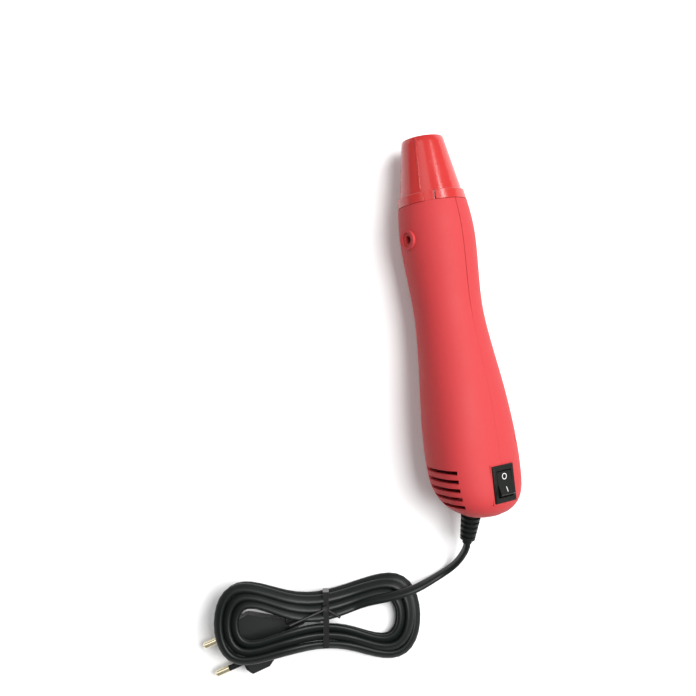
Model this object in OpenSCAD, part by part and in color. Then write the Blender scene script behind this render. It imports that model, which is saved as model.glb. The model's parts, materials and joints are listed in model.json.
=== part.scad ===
// Hand-held embossing heat tool, lying on a table with its cord in a tied hank.
// Two moulded half shells hold a blower, a mica heater and a rocker switch.
// Each tool piece is drawn in the tool's own axes: +Z runs from the nozzle's
// mouth to the rear, +Y points at the switch and X runs across the parting line.
// posed() then lays the whole tool down on the table with the nozzle towards +Y.

/* [Resting pose] */
// Turn of the switch away from straight up
roll = 36; // [20:1:50]

/* [Housing] */
// Diameter of the front swelling
front_d = 45; // [42:0.5:48]
// Width of the waist
waist_d = 41.2; // [40:0.2:44]
// Diameter of the rear belly
belly_d = 55.4; // [52:0.2:60]
// Distance from the collar to the front swelling
front_at = 20; // [15:1:24]
// Distance from the collar to the waist
waist_at = 63; // [50:1:70]
// Distance from the collar to the belly
belly_at = 152; // [146:1:170]
// Depth of the rounded rear end
tail_l = 34.4; // [30:0.2:40]
// Lean of the rear end, longer on the switch side
tail_tilt = 9; // [6:0.5:12]
// How much flatter the belly is under the switch
flat_drop = 3.5; // [2.5:0.25:4]
// How far the waist sits back from the switch side
waist_bow = 1.2; // [0:0.2:2]
// Wall thickness of the shells
wall = 2.2; // [1.8:0.1:2.4]

/* [Nozzle] */
// Length of the nozzle cone
cone_l = 34; // [26:1:38]
// Diameter of the nozzle's mouth
tip_d = 25.2; // [22:0.2:26]
// Wall thickness of the cone at the collar
cone_wall = 2.7; // [2:0.1:3]
// Wall thickness of the spigot inside the shells
spigot_wall = 2.2; // [1.6:0.1:2.4]
// Length of the collar
collar_l = 6; // [5:0.5:8]
// Height of the collar over the cone
collar_rise = 1.4; // [1:0.1:1.8]
// Wall thickness of the nozzle at its mouth
nozzle_wall = 2; // [1.6:0.1:2.4]
// Width of each gap in the collar, in degrees
key_angle = 20; // [12:1:26]

/* [Stand sockets] */
// Bore of each stand socket
socket_d = 5; // [4:0.1:5.4]
// Diameter of each raised boss
socket_boss_d = 11.5; // [11:0.5:13]
// Height of each boss over the shell
socket_rise = 1; // [0.8:0.1:2.5]
// Depth of each bore from the boss face
socket_depth = 5.4; // [4.5:0.1:6.5]
// Offset of the bores from the axis, away from the switch
socket_drop = 0.5; // [0.5:0.5:4]

/* [Vents] */
// Number of slots on each side
vent_count = 5; // [3:1:5]
// Width of each slot
vent_w = 2.3; // [1.6:0.1:2.8]
// Step from slot to slot
vent_pitch = 5.15; // [4.4:0.05:5.3]
// Length of each slot, in degrees
vent_angle = 56; // [40:1:60]
// Distance of the first slot behind the belly ring
vent_lead = 3.5; // [2:0.5:6]

/* [Switch] */
// Length of the bezel
bezel_l = 21.5; // [20:0.5:23]
// Width of the bezel
bezel_w = 16; // [14.5:0.5:17]
// Thickness of the bezel
bezel_t = 1.5; // [1.2:0.1:2]
// Distance of the switch centre behind the belly ring
switch_behind = 15.6; // [13:0.2:17]
// Height of the flat pad over the tool's axis
pad_h = 22.9; // [22:0.1:23.6]
// Slope of the pad towards the rear
pad_slope = 4; // [0:0.5:6]
// Width of the rocker
rocker_w = 11; // [9:0.2:12]
// Radius from the rocker's pivot to its ends
rocker_reach = 7.55; // [7:0.05:7.8]
// Full swing of the rocker
rocker_swing = 20; // [16:1:22]
// Diameter of the rocker's pivot pins
rocker_pin_d = 2; // [1.6:0.1:2.4]
// Depth of the switch body below the pad
switch_depth = 13; // [12:0.5:15]

/* [Blower] */
// Gap between the fan's blades and their shroud
fan_gap = 0.7; // [0.5:0.1:1.5]
// Length of the fan
fan_l = 12; // [9:0.5:13]
// Number of fan blades
blade_count = 6; // [4:1:8]
// Diameter of the motor can
motor_d = 24; // [22:0.5:24.4]
// Length of the motor can
motor_l = 22; // [20:0.5:23]
// Diameter of the motor shaft
shaft_d = 2; // [1.6:0.1:2.4]
// Distance of the motor's front face from the collar
motor_at = 109.2; // [106:0.2:111]

/* [Heater] */
// Outside diameter of the steel air tube
tube_d = 30.4; // [28:0.2:32]
// Gap between the air tube and the nozzle
tube_room = 0.8; // [0.5:0.1:1.2]
// Length of the air tube
tube_l = 54; // [46:1:56]
// Diameter of the heater winding
coil_d = 20.4; // [18:0.2:23]
// Number of turns of heater wire
coil_turns = 9; // [5:1:9]
// Diameter of the heater wire
coil_wire_d = 0.9; // [0.7:0.05:1]

/* [Cord] */
// Thickness of the cord
cord_d = 3.6; // [3:0.1:3.8]
// Length of the strain relief outside the housing
relief_l = 21; // [18:0.5:26]
// Diameter of the strain relief at the housing
relief_d = 12.6; // [11:0.2:13.4]
// Lean of the strain relief away from the switch
relief_lean = 24; // [18:1:28]

/* [Plug] */
// Diameter of each plug pin
pin_d = 4; // [3.8:0.1:4.8]
// Length of each pin outside the plug
pin_l = 19; // [16:0.5:19]
// Length of the insulating sleeve on each pin
sleeve_l = 10; // [6:0.5:11]
// Distance between the pins
pin_gap = 18.6; // [17:0.1:19]
// Width of the plug body
plug_w = 34; // [32:0.5:36]
// Thickness of the plug body
plug_t = 12.6; // [10.5:0.1:12.6]

/* [Hidden] */
$fn = 64;

// Fits and gaps
gap = 0.3;
slide_gap = 0.1;
run_gap = 0.06;
eps = 0.01;

// The nozzle closes round the air tube, and the housing round the nozzle
cone_d = tube_d + 2 * (tube_room + cone_wall);
mouth_d = tube_d + 2 * (tube_room + spigot_wall + gap + wall);

// Stations along the tool, from the nozzle's mouth
collar_s = cone_l + collar_l;
front_s = collar_s + front_at;
waist_s = collar_s + waist_at;
belly_s = collar_s + belly_at;
end_s = belly_s + tail_l;
switch_s = belly_s + switch_behind;
motor_s = collar_s + motor_at;

// Smooth step from 0 to 1
function clamp01(u) = min(1, max(0, u));
function ease(u) = let (v = clamp01(u)) v * v * (3 - 2 * v);

// Half width of the housing at a station up to the belly, which is a little early
belly_power = 0.92;
function half_w(s) =
    s < front_s
        ? mouth_d / 2 + (front_d - mouth_d) / 2 * sin(90 * clamp01((s - collar_s) / front_at))
    : s < waist_s
        ? front_d / 2 - (front_d - waist_d) / 2 * ease((s - front_s) / (waist_s - front_s))
        : waist_d / 2 + (belly_d - waist_d) / 2
            * ease(pow(clamp01((s - waist_s) / (belly_s - waist_s)), belly_power));
function rear_part(s) = ease((s - waist_s) / (belly_s - waist_s));
bow_l = 35;
function bow(s) = waist_bow * exp(-pow((s - waist_s) / bow_l, 2));
function switch_reach(s) = half_w(s) - bow(s) - flat_drop * pow(rear_part(s), 1.5);
function back_reach(s) = half_w(s) + bow(s);
function squareness(s) = 2 + 0.4 * rear_part(s);

// The rear end closes with this share of the belly's radius, blunter under the switch
back_power = 3;
switch_power = 5.5;
function tail_share(v, a) =
    sqrt(1 - pow(v, back_power + (switch_power - back_power) * max(0, cos(a))));
tilt_l = 40;
function ring_tilt(s) = tail_tilt * clamp01((s - belly_s + tilt_l) / tilt_l);

// One point of the housing's skin: v is 0 along the body and runs to 1 in the
// rear end, a is the angle from the switch, inset is the depth under the skin
function skin(s, v, a, inset) =
    let (
        k = tail_share(v, a),
        n = cos(a) > 0 ? squareness(s) - 0.4 * v : 2,
        reach = (cos(a) > 0 ? switch_reach(s) : back_reach(s)) - inset,
        x = (half_w(s) - inset) * k * sign(sin(a)) * pow(abs(sin(a)), 2 / n),
        y = reach * k * sign(cos(a)) * pow(abs(cos(a)), 2 / n),
        t = ring_tilt(s)
    )
    [x, y * cos(t), s + v * (tail_l - inset) + y * sin(t)];

// Rings of the skin: [station, place in the rear end]
body_rings = 27;
tail_rings = 12;
tail_stop = 0.998;
rings = concat(
    [for (i = [0 : body_rings]) [collar_s + (belly_s - collar_s) * i / body_rings, 0]],
    [for (i = [1 : tail_rings]) [belly_s, tail_stop * (1 - pow(1 - i / tail_rings, 1.6))]]
);
side_steps = 20;

// Resting pose: the belly and the front swelling both touch the table
down_a = 180 - roll;
function drop(s) = max([for (a = [down_a - 20 : 1 : down_a + 20])
    let (p = skin(s, 0, a, 0)) p[0] * sin(roll) - p[1] * cos(roll)]);
pitch = atan((drop(belly_s - 3) - drop(front_s)) / (belly_s - 3 - front_s));
function turned(p) =
    let (
        x = p[0] * cos(roll) + p[1] * sin(roll),
        z = -p[0] * sin(roll) + p[1] * cos(roll),
        y = -p[2]
    )
    [x, y * cos(pitch) + z * sin(pitch), -y * sin(pitch) + z * cos(pitch)];
skin_cloud = [for (r = rings, j = [0 : 2 * side_steps - 1])
    turned(skin(r[0], r[1], j * 180 / side_steps, 0))];
tip_cloud = [for (a = [0 : 5 : 355])
    turned([tip_d / 2 * sin(a), tip_d / 2 * cos(a), 0])];
cloud = concat(skin_cloud, tip_cloud);
function low(axis) = min([for (p = cloud) p[axis]]);
function high(axis) = max([for (p = cloud) p[axis]]);
rest = [-(low(0) + high(0)) / 2, -(low(1) + high(1)) / 2, -low(2)];
function world(p) = turned(p) + rest;

module posed() {
    translate(rest)
        rotate([-pitch, 0, 0])
            rotate([0, roll, 0])
                rotate([90, 0, 0])
                    children();
}

// Axes on the switch pad: +Y to the nozzle, +Z out of the pad
module on_pad() {
    translate([0, pad_h, switch_s])
        rotate([-90, 0, 0])
            rotate([pad_slope, 0, 0])
                children();
}
function pad_point(p) =
    [
        p[0],
        pad_h + p[1] * sin(pad_slope) + p[2] * cos(pad_slope),
        switch_s - p[1] * cos(pad_slope) + p[2] * sin(pad_slope)
    ];

// A ring swept about the tool's axis, from station s0 to s1
module ring(r_in, r_out, s0, s1, start = 0, angle = 360) {
    rotate([0, 0, start])
        rotate_extrude(angle = angle)
            translate([r_in, s0])
                square([r_out - r_in, s1 - s0]);
}

// The moulded wall of one half shell, on the +X side
function ring_index(i, j) = i * (side_steps + 1) + j;
module half_wall() {
    outer = [for (r = rings, j = [0 : side_steps]) skin(r[0], r[1], j * 180 / side_steps, 0)];
    inner = [for (r = rings, j = [0 : side_steps]) skin(r[0], r[1], j * 180 / side_steps, wall)];
    m = len(outer);
    last = len(rings) - 1;
    skins = [for (i = [0 : last - 1], j = [0 : side_steps - 1])
        let (
            a = ring_index(i, j),
            b = ring_index(i, j + 1),
            c = ring_index(i + 1, j + 1),
            d = ring_index(i + 1, j)
        )
        each [[a, b, c], [a, c, d], [a + m, c + m, b + m], [a + m, d + m, c + m]]];
    front = [for (j = [0 : side_steps - 1])
        [ring_index(0, j + 1), ring_index(0, j), ring_index(0, j) + m, ring_index(0, j + 1) + m]];
    top_seam = [for (i = [0 : last - 1])
        [ring_index(i, 0), ring_index(i + 1, 0), ring_index(i + 1, 0) + m, ring_index(i, 0) + m]];
    back_seam = [for (i = [0 : last - 1])
        let (a = ring_index(i, side_steps), b = ring_index(i + 1, side_steps))
        [b, a, a + m, b + m]];
    caps = [
        [for (j = [0 : side_steps]) ring_index(last, j)],
        [for (j = [side_steps : -1 : 0]) ring_index(last, j) + m],
        [
            ring_index(last, 0), ring_index(last, side_steps),
            ring_index(last, side_steps) + m, ring_index(last, 0) + m
        ]
    ];
    polyhedron(concat(outer, inner), concat(skins, front, top_seam, back_seam, caps), 8);
}

// Inner ribs that hold the nozzle, the air tube and the fan mount
rib_t = 1.5;
lock_s = collar_s + 3;
flange_s = collar_s + 7;
fan_back = 4;
fan_s = motor_s - fan_l - fan_back;
shroud_lead = 4;
shroud_tail = 3.5;
mount_s0 = fan_s - shroud_lead;
mount_s1 = motor_s + shroud_tail;
shroud_t = 1.4;

// The heater leads pass between the shroud and the shells, on the back
lead_d = 1.2;
lead_x = 3;
lead_gap = 0.4;
lead_start = 2;
function lead_r(s) = back_reach(s) - wall - lead_gap - lead_d / 2;
function lead_y(s) = -sqrt(pow(lead_r(s), 2) - lead_x * lead_x);
shroud_r = lead_r(mount_s0 - lead_start) - lead_d / 2 - lead_gap - shroud_t;
fan_d = 2 * (shroud_r - fan_gap);
lock_r = mouth_d / 2 - wall - 1.2;
tube_seat_r = tube_d / 2 + 1.4;
tube_seat_s = flange_s + 1.4;
module shell_ribs() {
    for (rib = [[lock_r, lock_s], [tube_seat_r, tube_seat_s]])
        ring(rib[0], half_w(rib[1]) - wall / 2, rib[1], rib[1] + rib_t, -90, 180);
    for (s = [mount_s0 - gap - rib_t, mount_s1 + gap])
        ring(shroud_r + 0.2, switch_reach(s) - 0.7, s, s + rib_t, -74, 160);
}

// Stand socket on one side
socket_s = front_s;
socket_face = half_w(socket_s) + socket_rise;
socket_wall = 2.2;
socket_dish = 0.8;
socket_rim = 1.5;
socket_core = wall + 3.4;
socket_root = 2.5;
module socket_boss() {
    translate([half_w(socket_s) - socket_core, -socket_drop, socket_s])
        rotate([0, 90, 0])
            cylinder(h = socket_core - socket_root / 2, d = socket_d + 2 * socket_wall);
    translate([half_w(socket_s) - socket_root, -socket_drop, socket_s])
        rotate([0, 90, 0])
            cylinder(h = socket_root + socket_rise, d = socket_boss_d);
}
module socket_bore() {
    translate([socket_face, -socket_drop, socket_s])
        rotate([0, 90, 0]) {
            translate([0, 0, -socket_depth])
                cylinder(h = socket_depth + 1, d = socket_d);
            translate([0, 0, -socket_dish])
                cylinder(h = 2 * socket_dish, d = socket_boss_d - 2 * socket_rim);
        }
}

// Vent slots on one side, each in the plane of a tilted ring
vent_depth = 6;
vent_deeper = 4;
module vents() {
    for (i = [0 : vent_count - 1])
        let (
            s = belly_s + vent_lead + i * vent_pitch,
            v = clamp01((s - belly_s) / tail_l),
            r = (belly_d / 2) * tail_share(v, 90)
        )
            translate([0, 0, s])
                rotate([ring_tilt(s), 0, 0])
                    ring(r - vent_depth - v * vent_deeper, r + vent_depth / 2, -vent_w / 2, vent_w / 2, -vent_angle / 2, vent_angle);
}

// Screws that join the shells, driven from the right side: [station, y]
screw_d = 3;
screw_head_d = 5.4;
screw_head_h = 2.2;
screw_room = 0.4;
screw_l = 14;
post_d = 6.4;
rear_screw_s = motor_s + motor_l + 13.5;
rear_screw_inset = 6.5;
rear_screw_back = 7;
screw_places = [
    [waist_s - 2, -11.5],
    [rear_screw_s, switch_reach(rear_screw_s) - rear_screw_inset],
    [rear_screw_s, rear_screw_back - back_reach(rear_screw_s)]
];
// Half width of the skin at the far edge of a post, less a margin
post_margin = 1;
pilot_floor = 2;
function side_x(s, y) =
    let (r = y > 0 ? switch_reach(s) : back_reach(s))
    half_w(s) * sqrt(max(0.01, 1 - pow(min(1, abs(y) / r), 2)));
function post_end(p) = side_x(p[0], p[1] + sign(p[1]) * post_d / 2) - post_margin;
head_x = 5;
module screw_posts() {
    for (p = screw_places)
        translate([0, p[1], p[0]])
            rotate([0, 90, 0])
                cylinder(h = post_end(p), d = post_d, $fn = 32);
}
module screw_holes_right() {
    for (p = screw_places)
        translate([-1, p[1], p[0]])
            rotate([0, 90, 0]) {
                cylinder(h = belly_d, d = screw_d + screw_room, $fn = 32);
                translate([0, 0, 1 + head_x])
                    cylinder(h = belly_d, d = screw_head_d + screw_room, $fn = 32);
            }
}
module screw_pilots_left() {
    for (p = screw_places)
        translate([-eps, p[1], p[0]])
            rotate([0, 90, 0])
                cylinder(h = post_end(p) - pilot_floor, d = screw_d, $fn = 32);
}

// Flat pad and opening for the switch
pad_margin = 0.8;
pad_t = 4;
bezel_over = 1;
body_w = bezel_w - 2.1 * bezel_over;
body_l = bezel_l - 2 * bezel_over;
module pad_block(grow, z0, z1) {
    on_pad()
        translate([0, 0, z0])
            linear_extrude(z1 - z0)
                square([bezel_w + 2 * grow, bezel_l + 2 * grow], center = true);
}
module switch_hole() {
    on_pad()
        translate([0, 0, -switch_depth - 3])
            linear_extrude(switch_depth + 8)
                square([body_w + 2 * slide_gap, body_l + 2 * slide_gap], center = true);
}

// Strain relief axes: +Z out of the housing
relief_y = -8;
relief_s = end_s - 2.8;
relief_core_d = 8;
relief_sink = 1;
relief_in = 4;
relief_flange_t = 1.2;
relief_flange_w = 1.6;
module at_relief() {
    translate([0, relief_y, relief_s])
        rotate([relief_lean, 0, 0])
            children();
}
function relief_point(z) =
    [0, relief_y - z * sin(relief_lean), relief_s + z * cos(relief_lean)];

// Posts in the left shell that carry the cord clamp, one on each side of the cord
clamp_in = 9.5;
clamp_at = relief_point(-clamp_in);
clamp_s = clamp_at[2];
clamp_half = 5.2;
clamp_y = [clamp_at[1] - clamp_half, clamp_at[1] + clamp_half];
clamp_screw_d = 2;
clamp_screw_l = 7;
clamp_base = 2.4;
clamp_post_d = 4.6;
// Half width of the skin in the rear end, at the far edge of a clamp post
function tail_x(s, y) =
    let (
        v = (s - belly_s - y * sin(tail_tilt)) / tail_l,
        r = back_reach(belly_s) * tail_share(v, 180) * cos(tail_tilt)
    )
    r * sqrt(1 - pow(y / r, 2));
clamp_post_end = tail_x(clamp_s + clamp_post_d / 2, clamp_y[0] - clamp_post_d / 2) - post_margin;
// A web ties the inner post to the outer one, which stands on the wall
clamp_web_x = clamp_base + 3;
clamp_web_t = 1.6;

// One half shell with all that both sides share, on the +X side
module right_half() {
    intersection() {
        children();
        translate([0, -belly_d, 0])
            cube([belly_d, 2 * belly_d, end_s]);
    }
}
module half_shell() {
    difference() {
        union() {
            half_wall();
            right_half()
                shell_ribs();
            socket_boss();
            screw_posts();
            right_half()
                pad_block(pad_margin, -pad_t, 0);
        }
        socket_bore();
        vents();
        pad_block(pad_margin, 0, pad_h);
        switch_hole();
        at_relief() {
            translate([0, 0, -relief_l / 2])
                cylinder(h = relief_l, d = relief_core_d + 2 * slide_gap);
            translate([0, 0, -relief_sink])
                cylinder(h = relief_l, d = relief_d + 2 * slide_gap);
        }
    }
}
module shell_right() {
    color("#e4545c")
        posed()
            difference() {
                half_shell();
                screw_holes_right();
            }
}
module shell_left() {
    color("#e4545c")
        posed()
            mirror([1, 0, 0])
                difference() {
                    union() {
                        half_shell();
                        for (y = clamp_y)
                            translate([clamp_base, y, clamp_s])
                                rotate([0, 90, 0])
                                    cylinder(h = clamp_post_end - clamp_base, d = clamp_post_d, $fn = 32);
                        translate([clamp_web_x, clamp_y[0], clamp_s - clamp_web_t / 2])
                            cube([clamp_post_end - clamp_web_x, 2 * clamp_half, clamp_web_t]);
                    }
                    screw_pilots_left();
                    for (y = clamp_y)
                        translate([clamp_base - eps, y, clamp_s])
                            rotate([0, 90, 0])
                                cylinder(h = clamp_screw_l, d = clamp_screw_d, $fn = 32);
                }
}

// Nozzle: a hollow cone with a collar and a spigot that snaps into the shells
tip_r = tip_d / 2;
cone_r = cone_d / 2;
collar_over = 0.2;
collar_r = mouth_d / 2 + collar_over;
spigot_r = mouth_d / 2 - wall - gap;
spigot_in = tube_d / 2 + tube_room;
groove_r = lock_r - gap;
key_places = [44, 134, 224, 314];
line_places = [150, 330];
line_w = 0.8;
module nozzle() {
    slope = atan((cone_r - tip_r) / cone_l);
    color("#dd3f42")
        posed() {
            difference() {
                union() {
                    rotate_extrude()
                        polygon([
                            [tip_r - nozzle_wall, 0.6],
                            [tip_r - nozzle_wall + 0.6, 0],
                            [tip_r - 0.6, 0],
                            [tip_r, 0.6],
                            [cone_r, cone_l],
                            [cone_r + collar_rise - 0.3, cone_l],
                            [cone_r + collar_rise, cone_l + 0.3],
                            [collar_r, collar_s - 0.2],
                            [spigot_r, collar_s - 0.2],
                            [spigot_r, lock_s - gap],
                            [groove_r, lock_s - gap],
                            [groove_r, lock_s + rib_t + gap],
                            [spigot_r, lock_s + rib_t + gap],
                            [spigot_r, flange_s - gap],
                            [spigot_in, flange_s - gap],
                            [spigot_in, cone_l - 2]
                        ]);
                    for (a = line_places)
                        rotate([0, 0, a])
                            translate([tip_r - 0.5, -line_w / 2, 1.2])
                                rotate([0, slope, 0])
                                    cube([0.9, line_w, cone_l - 2]);
                }
                for (a = key_places)
                    ring(cone_r + 0.5, mouth_d, cone_l - eps, collar_s, a - key_angle / 2, key_angle);
            }
        }
}

// Heater: steel tube, mica sleeve, mica cross, winding, end disc and cutout
tube_s = cone_l - 2;
tube_wall = 0.4;
module air_tube() {
    r = tube_d / 2;
    color("silver")
        posed()
            rotate_extrude()
                polygon([
                    [r - tube_wall, tube_s],
                    [r, tube_s],
                    [r, flange_s],
                    [spigot_r - 0.2, flange_s],
                    [spigot_r - 0.2, flange_s + 1],
                    [r, flange_s + 1],
                    [r, tube_s + tube_l],
                    [r - tube_wall, tube_s + tube_l]
                ]);
}
sleeve_r = tube_d / 2 - tube_wall - 0.3;
mica_t = 1;
sleeve_wall = 0.4;
cross_s0 = tube_s + 3;
cross_s1 = tube_s + tube_l - 7;
cross_r = coil_d / 2 - coil_wire_d / 2 - 0.4;
module mica_sleeve() {
    color("#c9b27c")
        posed()
            ring(sleeve_r - sleeve_wall, sleeve_r, tube_s + 2, tube_s + tube_l - 4);
}
module mica_cross() {
    color("#d8c48e")
        posed()
            translate([0, 0, cross_s0]) {
                translate([-cross_r, -mica_t / 2, 0])
                    cube([2 * cross_r, mica_t, cross_s1 - cross_s0]);
                translate([-mica_t / 2, -cross_r, 0])
                    cube([mica_t, 2 * cross_r, cross_s1 - cross_s0]);
            }
}

// A round tube along a list of points, with its section kept upright
function unit(v) = v / norm(v);
function heading(path, i) =
    unit(path[min(i + 1, len(path) - 1)] - path[max(i - 1, 0)]);
function tube_ring(path, i, r, sides) =
    let (
        t = heading(path, i),
        across = unit(cross(t, abs(t[2]) > 0.95 ? [1, 0, 0] : [0, 0, 1])),
        up = cross(across, t)
    )
    [for (k = [0 : sides - 1])
        path[i] + r * (across * cos(k * 360 / sides) + up * sin(k * 360 / sides))];
module tube(path, r, sides) {
    n = len(path);
    points = [for (i = [0 : n - 1]) each tube_ring(path, i, r, sides)];
    walls = [for (i = [0 : n - 2], k = [0 : sides - 1])
        let (
            a = i * sides + k,
            b = i * sides + (k + 1) % sides,
            c = b + sides,
            d = a + sides
        )
        each [[a, c, b], [a, d, c]]];
    ends = [
        [for (k = [0 : sides - 1]) k],
        [for (k = [sides - 1 : -1 : 0]) (n - 1) * sides + k]
    ];
    polyhedron(points, concat(walls, ends), 8);
}
coil_steps = 16;
module heater_coil() {
    rise = (cross_s1 - cross_s0 - 6) / coil_turns;
    path = [for (i = [0 : coil_turns * coil_steps])
        let (a = i * 360 / coil_steps)
        [coil_d / 2 * cos(a), coil_d / 2 * sin(a), cross_s0 + 3 + rise * i / coil_steps]];
    color("#8c8c90")
        posed()
            tube(path, coil_wire_d / 2, 6);
}
disc_s = cross_s1 + 0.3;
disc_t = 1.2;
module mica_end_disc() {
    color("#d8c48e")
        posed()
            translate([0, 0, disc_s])
                difference() {
                    cylinder(h = disc_t, r = sleeve_r - sleeve_wall - 0.2);
                    for (a = [45 : 90 : 315])
                        rotate([0, 0, a])
                            translate([sleeve_r * 0.55, 0, -1])
                                cylinder(h = disc_t + 2, d = sleeve_r * 0.55);
                }
}
cutout_l = 8;
cutout_w = 4.4;
cutout_t = 3;
module thermal_cutout() {
    color("#b9bcc0")
        posed()
            translate([mica_t / 2 + 0.4, mica_t / 2 + 0.4, cross_s1 - cutout_l - 4])
                cube([cutout_w, cutout_t, cutout_l]);
}
board_s = motor_s + motor_l + 5;
board_r = motor_d / 2 - 1;
board_t = 1.6;
lead_rise = 10;
lead_in = 2;
board_mid = board_s + board_t / 2;
board_rim = -sqrt(pow(board_r, 2) - pow(lead_x - lead_d / 2, 2)) - slide_gap;
lead_y0 = lead_in - sleeve_r;
waist_y = lead_y(waist_s);
shroud_y = lead_y(mount_s0 - lead_start);
module heater_leads() {
    color("#d9d6cc")
        posed()
            for (x = [-lead_x, lead_x])
                tube([
                    [x, lead_y0, disc_s + disc_t],
                    [x, lead_y0, tube_s + tube_l + lead_in],
                    [x, waist_y, waist_s],
                    [x, waist_y, mount_s0 - lead_start - lead_rise],
                    [x, shroud_y, mount_s0 - lead_start],
                    [x, shroud_y, board_mid - lead_rise / 2],
                    [x, board_rim - lead_in, board_mid],
                    [x, board_rim, board_mid]
                ], lead_d / 2, 6);
}

// Blower: fan mount with shroud, fan, and a small direct-current motor
seat_r = motor_d / 2 + slide_gap;
seat_l = 12;
arm_t = 2.4;
module fan_mount() {
    color("#2b2d2c")
        posed() {
            ring(shroud_r, shroud_r + shroud_t, mount_s0, mount_s1);
            ring(seat_r, seat_r + 1.4, motor_s - 1.6, motor_s + seat_l);
            ring(seat_r - 4, seat_r + 1, motor_s - 1.6, motor_s - 0.2);
            for (a = [45 : 90 : 315])
                rotate([0, 0, a])
                    translate([seat_r + 1, -arm_t / 2, motor_s - 1.6])
                        cube([shroud_r + 0.5 - seat_r - 1, arm_t, 4.8]);
        }
}
hub_r = 4.5;
blade_t = 1.2;
blade_angle = 38;
module fan_impeller() {
    color("#3a3f44")
        posed()
            difference() {
                union() {
                    translate([0, 0, fan_s])
                        cylinder(h = fan_l, r = hub_r);
                    intersection() {
                        translate([0, 0, fan_s])
                            cylinder(h = fan_l, r = fan_d / 2);
                        for (i = [0 : blade_count - 1])
                            rotate([0, 0, i * 360 / blade_count])
                                translate([hub_r - 0.6, 0, fan_s + fan_l / 2])
                                    rotate([blade_angle, 0, 0])
                                        translate([0, -blade_t / 2, -fan_l])
                                            cube([fan_d, blade_t, 2 * fan_l]);
                    }
                }
                translate([0, 0, fan_s - 1])
                    cylinder(h = fan_l + 2, d = shaft_d);
            }
}
cap_t = 2.5;
module motor_shaft() {
    color("#d0d2d6")
        posed()
            translate([0, 0, fan_s + 0.5])
                cylinder(h = motor_s + motor_l + cap_t + 0.6 - fan_s - 0.5, d = shaft_d);
}
can_wall = 1;
magnet_r = motor_d / 2 - can_wall;
magnet_t = 1.7;
armature_r = magnet_r - magnet_t - 0.8;
core_s = motor_s + 4;
core_l = motor_l - 8;
module motor_armature() {
    color("#7a5a3a")
        posed()
            difference() {
                translate([0, 0, core_s])
                    cylinder(h = core_l, r = armature_r);
                for (a = [0 : 120 : 240])
                    rotate([0, 0, a])
                        translate([armature_r - 3.2, -0.8, core_s - 1])
                            cube([4, 1.6, core_l + 2]);
                translate([0, 0, core_s - 1])
                    cylinder(h = core_l + 2, d = shaft_d);
            }
}
bush_d = 5;
bush_l = 2.6;
module motor_can() {
    color("#a9adb3")
        posed()
            difference() {
                translate([0, 0, motor_s])
                    cylinder(h = motor_l, d = motor_d);
                translate([0, 0, motor_s + can_wall])
                    cylinder(h = motor_l, r = motor_d / 2 - can_wall);
                translate([0, 0, motor_s - 1])
                    cylinder(h = can_wall + 2, d = bush_d);
            }
}
module motor_magnets() {
    color("#4b4440")
        posed()
            for (a = [25, 205])
                ring(magnet_r - magnet_t, magnet_r, motor_s + 3, motor_s + motor_l - 3, a, 130);
}
module bush(s) {
    translate([0, 0, s])
        difference() {
            cylinder(h = bush_l, d = bush_d);
            translate([0, 0, -1])
                cylinder(h = bush_l + 2, d = shaft_d + 2 * run_gap);
        }
}
module motor_bushes() {
    color("#b08d57")
        posed() {
            bush(motor_s - 0.2);
            bush(motor_s + motor_l + cap_t - bush_l);
        }
}
module motor_end_cap() {
    color("#23282c")
        posed()
            difference() {
                union() {
                    translate([0, 0, motor_s + motor_l])
                        cylinder(h = cap_t, d = motor_d);
                    translate([0, 0, motor_s + motor_l - 1.5])
                        cylinder(h = 2, r = motor_d / 2 - can_wall - slide_gap);
                }
                translate([0, 0, motor_s + motor_l - 3])
                    cylinder(h = cap_t + 5, d = bush_d);
            }
}

// Rectifier board behind the motor
diode_d = 2.7;
diode_l = 5.2;
module rectifier_board() {
    color("#2f6b3c")
        posed()
            translate([0, 0, board_s])
                cylinder(h = board_t, r = board_r);
}
module rectifier_diodes() {
    color("#1e1e20")
        posed()
            for (x = [-6.5, 1.3], y = [-4, 3])
                translate([x, y, board_s + board_t + diode_d / 2])
                    rotate([0, 90, 0])
                        cylinder(h = diode_l, d = diode_d, $fn = 32);
}

// Rocker switch, drawn on the pad
window_w = rocker_w + 0.7;
window_l = 2 * rocker_reach + 0.5;
pivot_z = bezel_t - 2.5;
floor_t = 1.5;
module switch_body() {
    color("#1c1e1d")
        posed()
            on_pad()
                difference() {
                    union() {
                        translate([-bezel_w / 2, -bezel_l / 2, 0])
                            cube([bezel_w, bezel_l, bezel_t - 0.4]);
                        translate([-bezel_w / 2 + 0.4, -bezel_l / 2 + 0.4, 0])
                            cube([bezel_w - 0.8, bezel_l - 0.8, bezel_t]);
                        translate([-body_w / 2, -body_l / 2, -switch_depth])
                            cube([body_w, body_l, switch_depth + 0.5]);
                    }
                    translate([-window_w / 2, -window_l / 2, -switch_depth + floor_t])
                        cube([window_w, window_l, switch_depth + 5]);
                    translate([-body_w, 0, pivot_z])
                        rotate([0, 90, 0])
                            cylinder(h = 2 * body_w, d = rocker_pin_d + 2 * run_gap, $fn = 32);
                    for (y = terminal_places)
                        translate([-terminal_w / 2 - slide_gap, y - terminal_t / 2 - slide_gap, -switch_depth - 1])
                            cube([terminal_w + 2 * slide_gap, terminal_t + 2 * slide_gap, floor_t + 2]);
                }
}
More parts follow.
